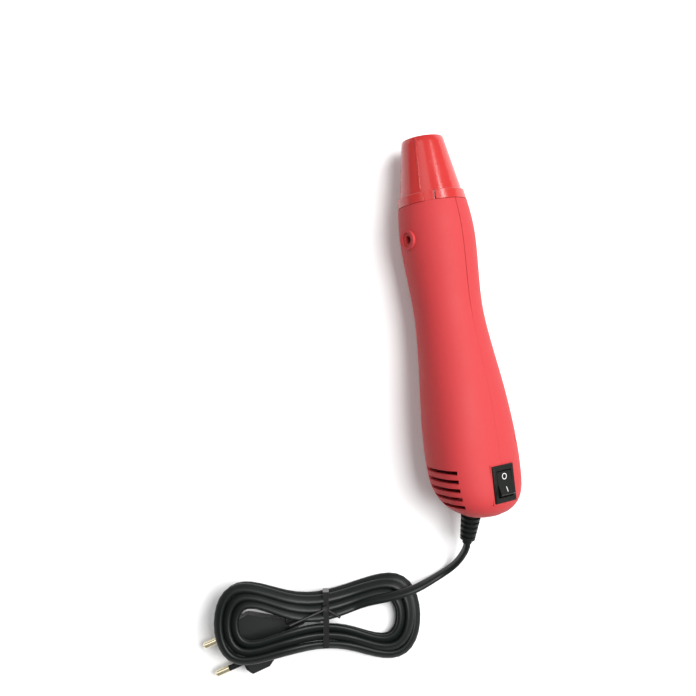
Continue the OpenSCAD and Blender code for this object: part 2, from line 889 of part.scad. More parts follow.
// The rocker's side view about its pivot, level between its two positions
rocker_mid = 2.5;
rocker_end_y = 6.6;
nub_l = 7.6;
nub_d = 2.4;
module rocker_shape() {
    intersection() {
        translate([-rocker_w / 2, 0, 0])
            rotate([90, 0, 90])
                linear_extrude(rocker_w)
                    polygon([
                        [-rocker_reach, -3], [rocker_reach, -3], [rocker_reach, 2.2],
                        [rocker_end_y, rocker_mid + rocker_end_y * tan(rocker_swing / 2)],
                        [0, rocker_mid],
                        [-rocker_end_y, rocker_mid + rocker_end_y * tan(rocker_swing / 2)],
                        [-rocker_reach, 2.2]
                    ]);
        translate([-rocker_w, 0, 0])
            rotate([0, 90, 0])
                cylinder(h = 2 * rocker_w, r = rocker_reach);
    }
    translate([-body_w / 2 + 0.3, 0, 0])
        rotate([0, 90, 0])
            cylinder(h = body_w - 0.6, d = rocker_pin_d, $fn = 32);
    translate([0, 0, -nub_l])
        cylinder(h = nub_l, d = nub_d, $fn = 32);
}
module switch_rocker() {
    color("#1a1b1b")
        posed()
            on_pad()
                translate([0, 0, pivot_z])
                    rotate([-rocker_swing / 2, 0, 0])
                        rocker_shape();
}
blade_ratio = 0.5;
blade_l = 12.6;
blade_w = 4;
contact_t = 0.8;
blade_z = pivot_z - nub_l - 1;
terminal_places = [0, 5.6];
terminal_w = 4.8;
terminal_t = 0.8;
terminal_l = 8;
module contact_blade() {
    color("#b87333")
        posed()
            on_pad()
                translate([0, 0, blade_z])
                    rotate([rocker_swing / 2 * blade_ratio, 0, 0])
                        translate([-blade_w / 2, -blade_l / 2, -contact_t / 2])
                            cube([blade_w, blade_l, contact_t]);
}
module switch_terminals() {
    color("#c8a45a")
        posed()
            on_pad()
                for (i = [0, 1])
                    let (top = blade_z - contact_t / 2 - (i == 0 ? 0.4 : 1))
                        translate([-terminal_w / 2, terminal_places[i] - terminal_t / 2, -switch_depth - terminal_l])
                            cube([terminal_w, terminal_t, top + switch_depth + terminal_l]);
}

// Cord end inside the housing: jacket, two cores to the switch, clamp and screws
jacket_l = 11;
jacket_z = -relief_in - jacket_l;
module cord_inner_end() {
    color("#151615")
        posed()
            at_relief()
                translate([0, 0, jacket_z])
                    cylinder(h = jacket_l, d = cord_d, $fn = 32);
}
core_d = 1.2;
wire_gap = 0.4;
jacket_end = relief_point(jacket_z - wire_gap);
module mains_wires() {
    low_end = [for (y = terminal_places) pad_point([0, y, -switch_depth - terminal_l])];
    color("#6b4a35")
        posed() {
            tube([
                jacket_end + [1, 0, 0],
                [2, jacket_end[1] + 3, low_end[0][2] + 2],
                low_end[0] + [2, -core_d / 2, 0]
            ], core_d / 2, 6);
            tube([
                jacket_end + [-1, 0, 0],
                [-2, jacket_end[1] + 2, low_end[1][2] + 2],
                low_end[1] + [-2, -core_d / 2, 0]
            ], core_d / 2, 6);
        }
}
clamp_t = 2;
clamp_w = 5.2;
clamp_x = cord_d / 2 + slide_gap;
clamp_screw_full = clamp_x + clamp_t + clamp_base + clamp_screw_l - 1;
clamp_head_d = 3.8;
module cord_clamp() {
    color("#d8d4c8")
        posed()
            difference() {
                translate([clamp_x, clamp_y[0] - clamp_w / 2, clamp_s - clamp_w / 2])
                    cube([clamp_t, clamp_y[1] - clamp_y[0] + clamp_w, clamp_w]);
                for (y = clamp_y)
                    translate([0, y, clamp_s])
                        rotate([0, 90, 0])
                            cylinder(h = clamp_x + 2 * clamp_t, d = clamp_screw_d + screw_room, $fn = 32);
            }
}
module clamp_screws() {
    color("#b9bcc0")
        posed()
            for (y = clamp_y)
                translate([0, y, clamp_s])
                    rotate([0, 90, 0]) {
                        translate([0, 0, clamp_x + clamp_t - clamp_screw_full])
                            cylinder(h = clamp_screw_full, d = clamp_screw_d, $fn = 32);
                        translate([0, 0, clamp_x + clamp_t])
                            cylinder(h = 1.2, d = clamp_head_d, $fn = 32);
                    }
}
module shell_screws() {
    color("#b9bcc0")
        posed()
            for (p = screw_places)
                translate([head_x, p[1], p[0]])
                    rotate([0, 90, 0]) {
                        translate([0, 0, screw_head_h - screw_l])
                            cylinder(h = screw_l - screw_head_h + eps, d = screw_d, $fn = 32);
                        cylinder(h = screw_head_h, d = screw_head_d, $fn = 32);
                    }
}

// Ribbed strain relief
relief_ribs = 6;
relief_end_d = 8.6;
relief_tip = 1.2;
relief_tip_w = 1.1;
rib_depth = 1.3;
module strain_relief() {
    step = (relief_l - relief_tip) / relief_ribs;
    core_r = relief_core_d / 2;
    flange_r = core_r + relief_flange_w;
    tip_w = cord_d / 2 + relief_tip_w;
    function rib_r(z) = relief_d / 2 + (relief_end_d - relief_d) / 2 * z / relief_l;
    outline = [for (i = [0 : relief_ribs - 1])
        let (z0 = i * step, z1 = z0 + step * 0.58)
        each [[rib_r(z0), z0], [rib_r(z1), z1],
              [rib_r(z1) - rib_depth, z1], [rib_r(z0 + step) - rib_depth, z0 + step]]];
    color("#161817")
        posed()
            at_relief()
                rotate_extrude()
                    polygon(concat(
                        [[0, -relief_in], [flange_r, -relief_in], [flange_r, relief_flange_t - relief_in],
                         [core_r, relief_flange_t - relief_in], [core_r, slide_gap - relief_sink],
                         [relief_d / 2, slide_gap - relief_sink]],
                        outline,
                        [[tip_w, relief_l - relief_tip], [tip_w, relief_l], [0, relief_l]]
                    ));
}

// Free stretches of the cord run through these points on the table
lead_points = [
    [-13, -138, 11], [-17, -143.2, 7.2], [-23, -147.4, 4.4], [-30, -150.4, 4.2], [-37.5, -152.6, 7.8],
    [-45, -154.3, 11.6], [-54, -155.8, 12.4], [-64, -156.9, 11.8], [-74, -157.6, 9.4]
];
// Smooth curve through a list of points
function curve_at(p, i, t) =
    let (
        n = len(p) - 1,
        a = p[max(i - 1, 0)],
        b = p[i],
        c = p[min(i + 1, n)],
        d = p[min(i + 2, n)]
    )
    0.5 * (2 * b + (c - a) * t + (2 * a - 5 * b + 4 * c - d) * t * t
        + (3 * b - a - 3 * c + d) * t * t * t);
function curve(p, steps) = concat(
    [for (i = [0 : len(p) - 2], k = [0 : steps - 1]) curve_at(p, i, k / steps)],
    [p[len(p) - 1]]
);

// Hank: a spiral of bow-shaped loops that runs out on top and in again below
hank_at = [-106.5, -163, 0];
hank_turn = -8;
hank_half_l = 59.6;
hank_step_l = 4.8;
bow_wide = 23;
bow_wide_step = 6.1;
bow_nip = 8.8;
bow_nip_step = 1;
hank_layer = 4.6;
hank_low = 2.75;
loop_steps = 24;
start_a = 65;
// Turns on top, turns over which it comes down, and turns below
top_turns = 2.45;
fall_turns = 0.5;
low_turns = 2.055;
hank_turns = top_turns + fall_turns + low_turns;
fall_bulge = 0.3;
// The loops climb over the plug at the left end
plug_lift = 13.4;
lift_from = 26;
lift_l = 46;
function fallen(u) = clamp01((u - top_turns) / fall_turns);
function loop_no(u) =
    u < top_turns ? top_turns - u
    : u < top_turns + fall_turns ? -fall_bulge * sin(180 * fallen(u))
    : u - top_turns - fall_turns;
function lift(x) = plug_lift * ease((lift_from - x) / lift_l);
function turn_by(p, a) = [p[0] * cos(a) - p[1] * sin(a), p[0] * sin(a) + p[1] * cos(a), p[2]];
function hank_point(u) =
    let (
        k = loop_no(u),
        a = start_a + 360 * u,
        x = (hank_half_l - hank_step_l * k) * cos(a),
        y = (bow_wide - bow_wide_step * k) * sin(a) + (bow_nip - bow_nip_step * k) * sin(3 * a),
        down = ease(fallen(u))
    )
    [x, y, hank_low + hank_layer * (1 - down) + lift(x)];
function on_table(p) = hank_at + turn_by(p, hank_turn);
hank_rings = ceil(hank_turns * loop_steps);
hank_path = [for (i = [0 : hank_rings]) on_table(hank_point(hank_turns * i / hank_rings))];

// Plug under the hank's left end, with its boot facing the tie
plug_face = [-157.2, -174.6, plug_t / 2];
plug_turn = 195;
plug_l = 33;
boot_l = 10;
boot_d = 7;
module at_plug() {
    translate(plug_face)
        rotate([0, 0, plug_turn])
            children();
}
function plug_point(x) = plug_face - x * [cos(plug_turn), sin(plug_turn), 0];

// Free stretches: a straight start and end, square to what they meet
hank_in = unit(hank_path[1] - hank_path[0]);
hank_out = unit(hank_path[hank_rings] - hank_path[hank_rings - 1]);
boot_end = plug_point(plug_l + boot_l);
lead_path = concat(
    [world(relief_point(relief_l))],
    curve(concat([world(relief_point(relief_l + cord_d))], lead_points, [hank_path[0] - cord_d * hank_in]), 3),
    [hank_path[0]]
);
tail_path = concat(
    [hank_path[hank_rings]],
    curve([hank_path[hank_rings] + cord_d * hank_out, plug_point(plug_l + boot_l + 9) + [0, 0, -1],
        plug_point(plug_l + boot_l + cord_d)], 5),
    [boot_end]
);

// Least gap between the hank's turns, measured on points along its rings
gap_points = [for (i = [0 : hank_rings - 1], k = [0 : 2])
    hank_path[i] + (hank_path[i + 1] - hank_path[i]) * k / 3];
hank_gap = min([for (i = [0 : len(gap_points) - 1], j = [i + 15 : 1 : len(gap_points) - 1])
    norm(gap_points[i] - gap_points[j])]) - cord_d;
function path_length(p) = len(p) < 2 ? 0
    : [for (i = 0, s = 0; i < len(p) - 1; s = s + norm(p[i + 1] - p[i]), i = i + 1)
        s + norm(p[i + 1] - p[i])][len(p) - 2];
echo(hank_gap = hank_gap);
echo(cord_length = path_length(lead_path) + path_length(hank_path) + path_length(tail_path));
echo(rocker_pivot = world(pad_point([0, 0, pivot_z])));
echo(blade_pivot = world(pad_point([0, 0, blade_z])));
echo(fan_axis = world([0, 0, motor_s]), fan_along = world([0, 0, 0]) - world([0, 0, 1]));
echo(across_axis = world([1, 0, 0]) - world([0, 0, 0]));
echo(socket_right = world([socket_face - socket_dish, -socket_drop, socket_s]));
echo(socket_left = world([-(socket_face - socket_dish), -socket_drop, socket_s]));
echo(pitch = pitch, rest = rest, low_high = [low(0), high(0), low(1), high(1), low(2), high(2)]);
echo(plug_face = plug_face);
echo(relief_end = world(relief_point(relief_l)), mouth = world([0, 0, 0]));

module cord_lead() {
    color("#141514")
        tube(lead_path, cord_d / 2, 8);
}
module cord_hank() {
    color("#141514")
        tube(hank_path, cord_d / 2, 6);
}
module cord_tail() {
    color("#141514")
        tube(tail_path, cord_d / 2, 8);
}

// Twist tie round the waist of the hank, with its two free ends
tie_x = 5.5;
tie_w = 3.6;
tie_t = 0.9;
tie_half = 17;
tie_low = lift(tie_x) + hank_low - cord_d / 2 - tie_t - 0.1;
tie_top = tie_low + hank_layer + cord_d + 2 * tie_t + 0.6;
tie_knot_y = 7;
// Each end: direction, length and rise
tie_ends = [[200, 24, 17], [-30, 10, 3]];
module twist_tie() {
    color("#1b1c1b")
        translate(hank_at)
            rotate([0, 0, hank_turn]) {
                translate([tie_x - tie_w / 2, 0, 0])
                    difference() {
                        translate([0, -tie_half, tie_low])
                            cube([tie_w, 2 * tie_half, tie_top - tie_low]);
                        translate([-1, -tie_half + tie_t, tie_low + tie_t])
                            cube([tie_w + 2, 2 * tie_half - 2 * tie_t, tie_top - tie_low - 2 * tie_t]);
                    }
                translate([tie_x, tie_knot_y, tie_top - 0.5])
                    cylinder(h = 2.4, d = 4.4, $fn = 32);
                for (e = tie_ends)
                    translate([tie_x, tie_knot_y, tie_top + 0.8])
                        rotate([0, 90 - e[2], e[0]])
                            cylinder(h = e[1], d = 1.6, $fn = 32);
            }
}

// Flat two-pin plug: each pin is thinner inside its sleeve and ends in a head
pin_core_d = pin_d - 1.2;
sleeve_d = pin_d - 0.5;
pin_root_l = 12;
pin_head_d = 5;
pin_head_l = 2;
pin_tip_l = 1;
pin_tip_d = pin_d - 1.6;
plug_corner = 4;
plug_corner_l = 3;
plug_flat_l = 14;
plug_rear_w = 10;
plug_edge = 1.2;
plug_edge_l = 2;
plug_full_l = 12;
plug_rear_low = 4;
plug_rear_high = 3;
plug_crown = 0.6;
// The plug seen from above and from the side, on its +Y and its upper and lower edges
plug_above = [
    [0, plug_w / 2 - plug_corner], [-plug_corner_l, plug_w / 2], [-plug_flat_l, plug_w / 2],
    [-plug_l, plug_rear_w / 2]
];
plug_lower = [
    [0, plug_edge - plug_t / 2], [-plug_edge_l, -plug_t / 2], [-plug_full_l, -plug_t / 2],
    [-plug_l, -plug_rear_low]
];
plug_upper = [
    [-plug_l, plug_rear_high], [-plug_full_l, plug_t / 2 - 1.5], [-plug_edge_l, plug_t / 2 - plug_crown],
    [0, plug_t / 2 - plug_crown - plug_edge]
];
module pin_root(extra) {
    translate([0, 0, -pin_root_l])
        cylinder(h = pin_root_l + extra, d = pin_core_d);
    translate([0, 0, -pin_root_l])
        cylinder(h = pin_head_l, d = pin_head_d);
}
module plug_body() {
    color("#171818")
        at_plug()
            difference() {
                union() {
                    intersection() {
                        translate([0, 0, -plug_t])
                            linear_extrude(2 * plug_t)
                                polygon(concat(
                                    plug_above,
                                    [for (i = [3 : -1 : 0]) [plug_above[i][0], -plug_above[i][1]]]
                                ));
                        translate([0, plug_w, 0])
                            rotate([90, 0, 0])
                                linear_extrude(2 * plug_w)
                                    polygon(concat(plug_lower, plug_upper));
                    }
                    translate([-plug_l - boot_l, 0, 0])
                        rotate([0, 90, 0])
                            cylinder(h = boot_l + 1, d1 = boot_d - 1.4, d2 = boot_d);
                }
                for (y = [-pin_gap / 2, pin_gap / 2])
                    translate([0, y, 0])
                        rotate([0, 90, 0])
                            pin_root(eps);
            }
}
module plug_pins() {
    color("#d9c07a")
        at_plug()
            for (y = [-pin_gap / 2, pin_gap / 2])
                translate([0, y, 0])
                    rotate([0, 90, 0]) {
                        pin_root(0);
                        cylinder(h = sleeve_l, d = pin_core_d);
                        translate([0, 0, sleeve_l])
                            cylinder(h = pin_l - sleeve_l - pin_tip_l, d = pin_d);
                        translate([0, 0, pin_l - pin_tip_l])
                            cylinder(h = pin_tip_l, d1 = pin_d, d2 = pin_tip_d);
                    }
}
module pin_sleeves() {
    color("#1b1b1c")
        at_plug()
            for (y = [-pin_gap / 2, pin_gap / 2])
                translate([0, y, 0])
                    rotate([0, 90, 0])
                        difference() {
                            cylinder(h = sleeve_l, d = sleeve_d);
                            translate([0, 0, -1])
                                cylinder(h = sleeve_l + 2, d = pin_core_d);
                        }
}

shell_left();
shell_right();
nozzle();
air_tube();
mica_sleeve();
mica_cross();
heater_coil();
mica_end_disc();
thermal_cutout();
heater_leads();
fan_mount();
fan_impeller();
motor_shaft();
motor_armature();
motor_can();
motor_magnets();
motor_bushes();
motor_end_cap();
rectifier_board();
rectifier_diodes();
switch_body();
switch_rocker();
switch_terminals();
contact_blade();
mains_wires();
cord_clamp();
clamp_screws();
shell_screws();
cord_inner_end();
strain_relief();
cord_lead();
cord_hank();
cord_tail();
twist_tie();
plug_body();
plug_pins();
pin_sleeves();
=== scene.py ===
"""Looks of a hand-held embossing heat tool that lies on a white table with its cord in a tied hank."""

import json
import math

import bmesh
import bpy
from mathutils import Matrix, Vector


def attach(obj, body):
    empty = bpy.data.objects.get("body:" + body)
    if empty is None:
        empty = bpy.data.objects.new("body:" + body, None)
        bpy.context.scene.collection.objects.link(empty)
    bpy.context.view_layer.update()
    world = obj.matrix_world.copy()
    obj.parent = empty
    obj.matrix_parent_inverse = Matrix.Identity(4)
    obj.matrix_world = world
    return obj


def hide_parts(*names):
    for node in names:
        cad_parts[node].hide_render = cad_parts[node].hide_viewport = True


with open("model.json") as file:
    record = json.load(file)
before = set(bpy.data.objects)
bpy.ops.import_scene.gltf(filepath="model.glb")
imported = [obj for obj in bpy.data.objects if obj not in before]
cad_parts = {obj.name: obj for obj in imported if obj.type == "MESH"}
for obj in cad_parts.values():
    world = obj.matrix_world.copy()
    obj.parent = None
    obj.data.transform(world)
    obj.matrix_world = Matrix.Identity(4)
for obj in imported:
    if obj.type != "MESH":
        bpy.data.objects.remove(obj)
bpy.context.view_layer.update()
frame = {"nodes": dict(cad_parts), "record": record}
mm = 0.001

# The camera hangs straight over the table. The photograph shows the tool leaning a little
# to the left, so the camera is turned by that lean, and its lens gives the same frame.
camera_place = Vector((-62.9, -3.45, 650)) * mm
camera_lean = math.radians(8.76)
camera_data = bpy.data.cameras.new("camera")
camera_data.sensor_width = 36
camera_data.lens = 54.38
camera_data.clip_start = 0.01
camera = bpy.data.objects.new("camera", camera_data)
camera.location = camera_place
camera.rotation_euler = (0, 0, -camera_lean)
bpy.context.scene.collection.objects.link(camera)
bpy.context.scene.camera = camera

# The cord is a flat two-core mains lead in a satin black sheath, 3.6 by 6 mm. It leaves the
# strain relief, lies on the table, runs over the hank and goes round in a spiral of
# bow-shaped loops that runs out on top and in again below, down to the plug under its end.
cord_thick = 3.6 * mm
cord_wide = 6 * mm
relief_end = Vector((-9.83, -130.07, 16.34)) * mm
relief_out = Vector((-0.239, -0.925, -0.295)).normalized()
lead_points = [
    (-13, -138, 11), (-17, -143.2, 7.2), (-23, -147.4, 4.4), (-30, -150.4, 4.2), (-37.5, -152.6, 7.8),
    (-45, -154.3, 11.6), (-54, -155.8, 12.4), (-64, -156.9, 11.8), (-74, -157.6, 9.4),
]


def ease(u):
    """Smooth step from 0 to 1."""
    u = min(1, max(0, u))
    return u * u * (3 - 2 * u)


def curve(points, steps):
    """Smooth curve through a list of points."""
    out = []
    last = len(points) - 1
    for i in range(last):
        a = points[max(i - 1, 0)]
        b = points[i]
        c = points[i + 1]
        d = points[min(i + 2, last)]
        for k in range(steps):
            t = k / steps
            bend = (2 * a - 5 * b + 4 * c - d) * t * t + (3 * b - a - 3 * c + d) * t ** 3
            out.append(0.5 * (2 * b + (c - a) * t + bend))
    out.append(points[last])
    return out


def relaxed(path, passes, held):
    """The path with its kinks evened out; the first held points and the last one stay."""
    for _ in range(passes):
        inner = [(a + 2 * b + c) / 4 for a, b, c in zip(path[held - 1:], path[held:], path[held + 1:])]
        path = path[:held] + inner + path[-1:]
    return path


hank_at = Vector((-106.5, -163, 0)) * mm
hank_turn = math.radians(-8)
start_angle = 65
top_turns = 2.45
fall_turns = 0.5
low_turns = 2.055
hank_turns = top_turns + fall_turns + low_turns
fall_bulge = 0.3
plug_climb = 13.4
climb_from = 26
climb_long = 46


def lift(x):
    """How far the loops climb over the plug, x in millimetres along the hank."""
    return plug_climb * ease((climb_from - x) / climb_long)


outer_long = 59.6
outer_wide = 23
step_long = 4.8
step_wide = 6.1
waist_pull = 8.8
bottom_layer = 2.75
layer_height = 4.6


def hank_point(u):
    """The cord's place after u turns of the hank."""
    fallen = min(1, max(0, (u - top_turns) / fall_turns))
    if u < top_turns:
        loop = top_turns - u
    elif u < top_turns + fall_turns:
        loop = -fall_bulge * math.sin(math.pi * fallen)
    else:
        loop = u - top_turns - fall_turns
    a = math.radians(start_angle + 360 * u)
    x = (outer_long - step_long * loop) * math.cos(a)
    y = (outer_wide - step_wide * loop) * math.sin(a) + (waist_pull - loop) * math.sin(3 * a)
    z = bottom_layer + layer_height * (1 - ease(fallen)) + lift(x)
    return hank_at + Matrix.Rotation(hank_turn, 3, "Z") @ Vector((x, y, z)) * mm


turn_rings = 60
hank_rings = int(hank_turns * turn_rings)
hank_path = [hank_point(hank_turns * i / hank_rings) for i in range(hank_rings + 1)]
hank_in = (hank_path[1] - hank_path[0]).normalized()
hank_out = (hank_path[-1] - hank_path[-2]).normalized()

plug_face = Vector((-157.2, -174.6, 6.3)) * mm
plug_turn = math.radians(195)
plug_ahead = Vector((math.cos(plug_turn), math.sin(plug_turn), 0))
plug_long = 43 * mm
boot_end = plug_face - plug_long * plug_ahead
span_steps = 8
straight_out = 4
lead_knots = [relief_end, relief_end + relief_out * straight_out * mm]
lead_knots += [Vector(p) * mm for p in lead_points]
lead_knots += [hank_path[0] - hank_in * cord_thick, hank_path[0]]
lead_path = relaxed(curve(lead_knots, span_steps), passes=30, held=6)
before_boot = 9
boot_dip = 1 * mm
tail_knots = [hank_path[-1], hank_path[-1] + hank_out * cord_thick]
tail_knots += [boot_end - plug_ahead * before_boot * mm - Vector((0, 0, boot_dip))]
tail_knots += [boot_end - plug_ahead * cord_thick, boot_end]
tail_path = curve(tail_knots, span_steps)
cord_path = lead_path[:-1] + hank_path[:-1] + tail_path


def place_mesh(name, bm, smooth_angle=35):
    """A finished mesh as an object at the origin, smooth but for edges sharper than the angle."""
    mesh = bpy.data.meshes.new(name)
    bmesh.ops.recalc_face_normals(bm, faces=bm.faces)
    for face in bm.faces:
        face.smooth = True
    for edge in bm.edges:
        if len(edge.link_faces) == 2:
            edge.smooth = edge.calc_face_angle(0) < math.radians(smooth_angle)
    bm.to_mesh(mesh)
    bm.free()
    obj = bpy.data.objects.new(name, mesh)
    bpy.context.scene.collection.objects.link(obj)
    return obj


seam_weld = 1e-7


def sweep(path, section, tilts):
    """A bmesh of a closed section swept along a path and turned by a tilt at each point."""
    count = len(path)
    sides = len(section)
    bm = bmesh.new()
    bmesh.ops.create_grid(bm, x_segments=count - 1, y_segments=sides, size=0.5)
    up = Vector((0, 0, 1))
    frames = []
    for i, point in enumerate(path):
        ahead = (path[min(i + 1, count - 1)] - path[max(i - 1, 0)]).normalized()
        across = ahead.cross(up).normalized()
        turn = Matrix.Rotation(tilts[i], 3, ahead)
        frames.append((point, turn @ across, turn @ across.cross(ahead)))
    for v in bm.verts:
        i = round((v.co.x + 0.5) * (count - 1))
        k = round((v.co.y + 0.5) * sides) % sides
        point, across, high = frames[i]
        v.co = point + across * section[k][0] + high * section[k][1]
        v.co.z = max(v.co.z, 0)
    bmesh.ops.remove_doubles(bm, verts=bm.verts, dist=seam_weld)
    bmesh.ops.holes_fill(bm, edges=[e for e in bm.edges if e.is_boundary], sides=sides)
    return bm


edge_round = 0.8
face_round = 0.75
corner_round = 0.9
dip_deep = 0.05
dip_wide = 0.12
section_sides = 20


def flat_section(wide, thick, sides):
    """A flat oval section with full round edges and a slight dip between the two cores."""
    points = []
    for k in range(sides):
        a = 2 * math.pi * k / sides
        x = math.cos(a)
        y = math.sin(a)
        stretch = 1 / max(abs(x), abs(y) ** corner_round)
        round_x = wide / 2 * math.copysign(abs(x) ** edge_round, x)
        dip = 1 - dip_deep * math.exp(-(round_x / (wide * dip_wide)) ** 2)
        round_y = thick / 2 * dip * math.copysign(abs(y) ** face_round, y) * min(1, stretch)
        points.append((round_x, round_y))
    return points


lead_tilt = math.radians(76)
hank_tilt = math.radians(38)
turn_from = len(lead_path) * 0.2
turn_over = len(lead_path) * 0.7
back_before = 14
back_over = 20
tilts = []
for i in range(len(cord_path)):
    into = ease((i - turn_from) / turn_over)
    out_of = ease((i - len(lead_path) - len(hank_path) + back_before) / back_over)
    tilts.append(lead_tilt + (hank_tilt - lead_tilt) * into * (1 - out_of))
cord_section = flat_section(cord_wide, cord_thick, section_sides)
cord = place_mesh("cord", sweep(cord_path, cord_section, tilts), smooth_angle=60)


def finish_group():
    """Node group: fine grain that lifts a surface, under a broad drift of its colour and gloss."""
    group = bpy.data.node_groups.new("moulded_finish", "ShaderNodeTree")
    for name, kind in (
        ("Place", "NodeSocketVector"), ("Dark", "NodeSocketColor"), ("Light", "NodeSocketColor"),
        ("Smooth", "NodeSocketFloat"), ("Rough", "NodeSocketFloat"),
        ("Scale", "NodeSocketFloat"), ("Lift", "NodeSocketFloat"),
    ):
        group.interface.new_socket(name, in_out="INPUT", socket_type=kind)
    for name, kind in (
        ("Color", "NodeSocketColor"), ("Roughness", "NodeSocketFloat"), ("Normal", "NodeSocketVector"),
    ):
        group.interface.new_socket(name, in_out="OUTPUT", socket_type=kind)
    nodes = group.nodes
    links = group.links
    given = nodes.new("NodeGroupInput")
    made = nodes.new("NodeGroupOutput")
    drift = nodes.new("ShaderNodeTexNoise")
    drift.inputs["Scale"].default_value = 45
    drift.inputs["Detail"].default_value = 4
    links.new(given.outputs["Place"], drift.inputs["Vector"])
    tint = nodes.new("ShaderNodeMix")
    tint.data_type = "RGBA"
    links.new(drift.outputs["Fac"], tint.inputs["Factor"])
    links.new(given.outputs["Dark"], tint.inputs["A"])
    links.new(given.outputs["Light"], tint.inputs["B"])
    links.new(tint.outputs["Result"], made.inputs["Color"])
    grain = nodes.new("ShaderNodeTexNoise")
    grain.inputs["Detail"].default_value = 3
    links.new(given.outputs["Place"], grain.inputs["Vector"])
    links.new(given.outputs["Scale"], grain.inputs["Scale"])
    both = nodes.new("ShaderNodeMath")
    both.operation = "MULTIPLY"
    links.new(drift.outputs["Fac"], both.inputs[0])
    links.new(grain.outputs["Fac"], both.inputs[1])
    gloss = nodes.new("ShaderNodeMapRange")
    gloss.inputs["From Max"].default_value = 0.5
    links.new(both.outputs["Value"], gloss.inputs["Value"])
    links.new(given.outputs["Smooth"], gloss.inputs["To Min"])
    links.new(given.outputs["Rough"], gloss.inputs["To Max"])
    links.new(gloss.outputs["Result"], made.inputs["Roughness"])
    bump = nodes.new("ShaderNodeBump")
    bump.inputs["Strength"].default_value = 0.25
    links.new(grain.outputs["Fac"], bump.inputs["Height"])
    links.new(given.outputs["Lift"], bump.inputs["Distance"])
    links.new(bump.outputs["Normal"], made.inputs["Normal"])
    return group


moulded_finish = finish_group()


def finish(
    name, color, smooth, rough, scale, lift, metallic=0.0, gloss=0.5, drift=0.06, stretch=(1, 1, 1),
):
    """A material: its colour drifts a little, and its grain is so fine, so high and so stretched."""
    material = bpy.data.materials.new(name)
    material.use_nodes = True
    nodes = material.node_tree.nodes
    links = material.node_tree.links
    shader = nodes["Principled BSDF"]
    shader.inputs["Metallic"].default_value = metallic
    shader.inputs["Specular IOR Level"].default_value = gloss
    place = nodes.new("ShaderNodeTexCoord")
    mapping = nodes.new("ShaderNodeMapping")
    mapping.inputs["Scale"].default_value = stretch
    links.new(place.outputs["Object"], mapping.inputs["Vector"])
    surface = nodes.new("ShaderNodeGroup")
    surface.node_tree = moulded_finish
    surface.inputs["Dark"].default_value = (*[c * (1 - drift) for c in color], 1)
    surface.inputs["Light"].default_value = (*[c * (1 + drift) for c in color], 1)
    surface.inputs["Smooth"].default_value = smooth
    surface.inputs["Rough"].default_value = rough
    surface.inputs["Scale"].default_value = scale
    surface.inputs["Lift"].default_value = lift
    links.new(mapping.outputs["Vector"], surface.inputs["Place"])
    links.new(surface.outputs["Color"], shader.inputs["Base Color"])
    links.new(surface.outputs["Roughness"], shader.inputs["Roughness"])
    links.new(surface.outputs["Normal"], shader.inputs["Normal"])
    return material


sheath = finish(
    "cord_sheath", (0.004, 0.006, 0.005), smooth=0.36, rough=0.5, scale=900, lift=0.00003,
    gloss=0.25, drift=0.2,
)
cord.data.materials.append(sheath)
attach(cord, "tool")
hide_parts("cord_lead", "cord_hank", "cord_tail")

# The flat plug is one black moulding round the end of the cord. Its two pins are turned from
# pale brass, and each is covered by a black sleeve up to its bare tip.
solid_weld = 1e-6


def tool_node(name, material, smooth_angle=35, bevel=0.0):
    """A copy of a solid, welded, smoothed and finished with a material, that stands for it."""
    bm = bmesh.new()
    bm.from_mesh(frame["nodes"][name].data)
    bmesh.ops.remove_doubles(bm, verts=bm.verts, dist=solid_weld)
    obj = place_mesh(name + "_skin", bm, smooth_angle)
    obj.data.materials.append(material)
    if bevel:
        round_edges = obj.modifiers.new("round_edges", "BEVEL")
        round_edges.width = bevel
        round_edges.segments = 2
        round_edges.limit_method = "ANGLE"
        round_edges.angle_limit = math.radians(40)
    body = next(b for b, nodes in frame["record"]["behaviour"]["bodies"].items() if name in nodes)
    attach(obj, body)
    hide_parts(name)
    return obj


plug_black = finish(
    "plug_black", (0.005, 0.006, 0.006), smooth=0.34, rough=0.48, scale=700, lift=0.00003,
    gloss=0.25, drift=0.2,
)
pin_metal = finish(
    "pin_metal", (0.86, 0.78, 0.55), smooth=0.16, rough=0.3, scale=500, lift=0.000004,
    metallic=1.0,
)
plug_edge = 0.0012
pin_edge = 0.00015
plug = tool_node("plug_body", plug_black, bevel=plug_edge)
pins = tool_node("plug_pins", pin_metal, bevel=pin_edge)
sleeves = tool_node("pin_sleeves", plug_black, bevel=pin_edge)

# The hank is tied at its waist with a black twist tie, a thin plastic strip on a soft wire.
# Its two ends are turned round each other in a small knot and stand off to both sides.
tie_black = finish(
    "tie_black", (0.006, 0.006, 0.006), smooth=0.3, rough=0.45, scale=600, lift=0.00002,
    gloss=0.3, drift=0.2,
)
soft_edge = 0.0003
tie = tool_node("twist_tie", tie_black, bevel=soft_edge)


# The strain relief is a soft black taper of rubbery plastic with ribs, so that it bends evenly.
# It is moulded on the cord, and a flange at its root is held in the rear end of the shells.
relief_black = finish(
    "relief_black", (0.004, 0.006, 0.005), smooth=0.42, rough=0.58, scale=700, lift=0.00003,
    gloss=0.25, drift=0.2,
)
tool_node("strain_relief", relief_black, bevel=soft_edge)

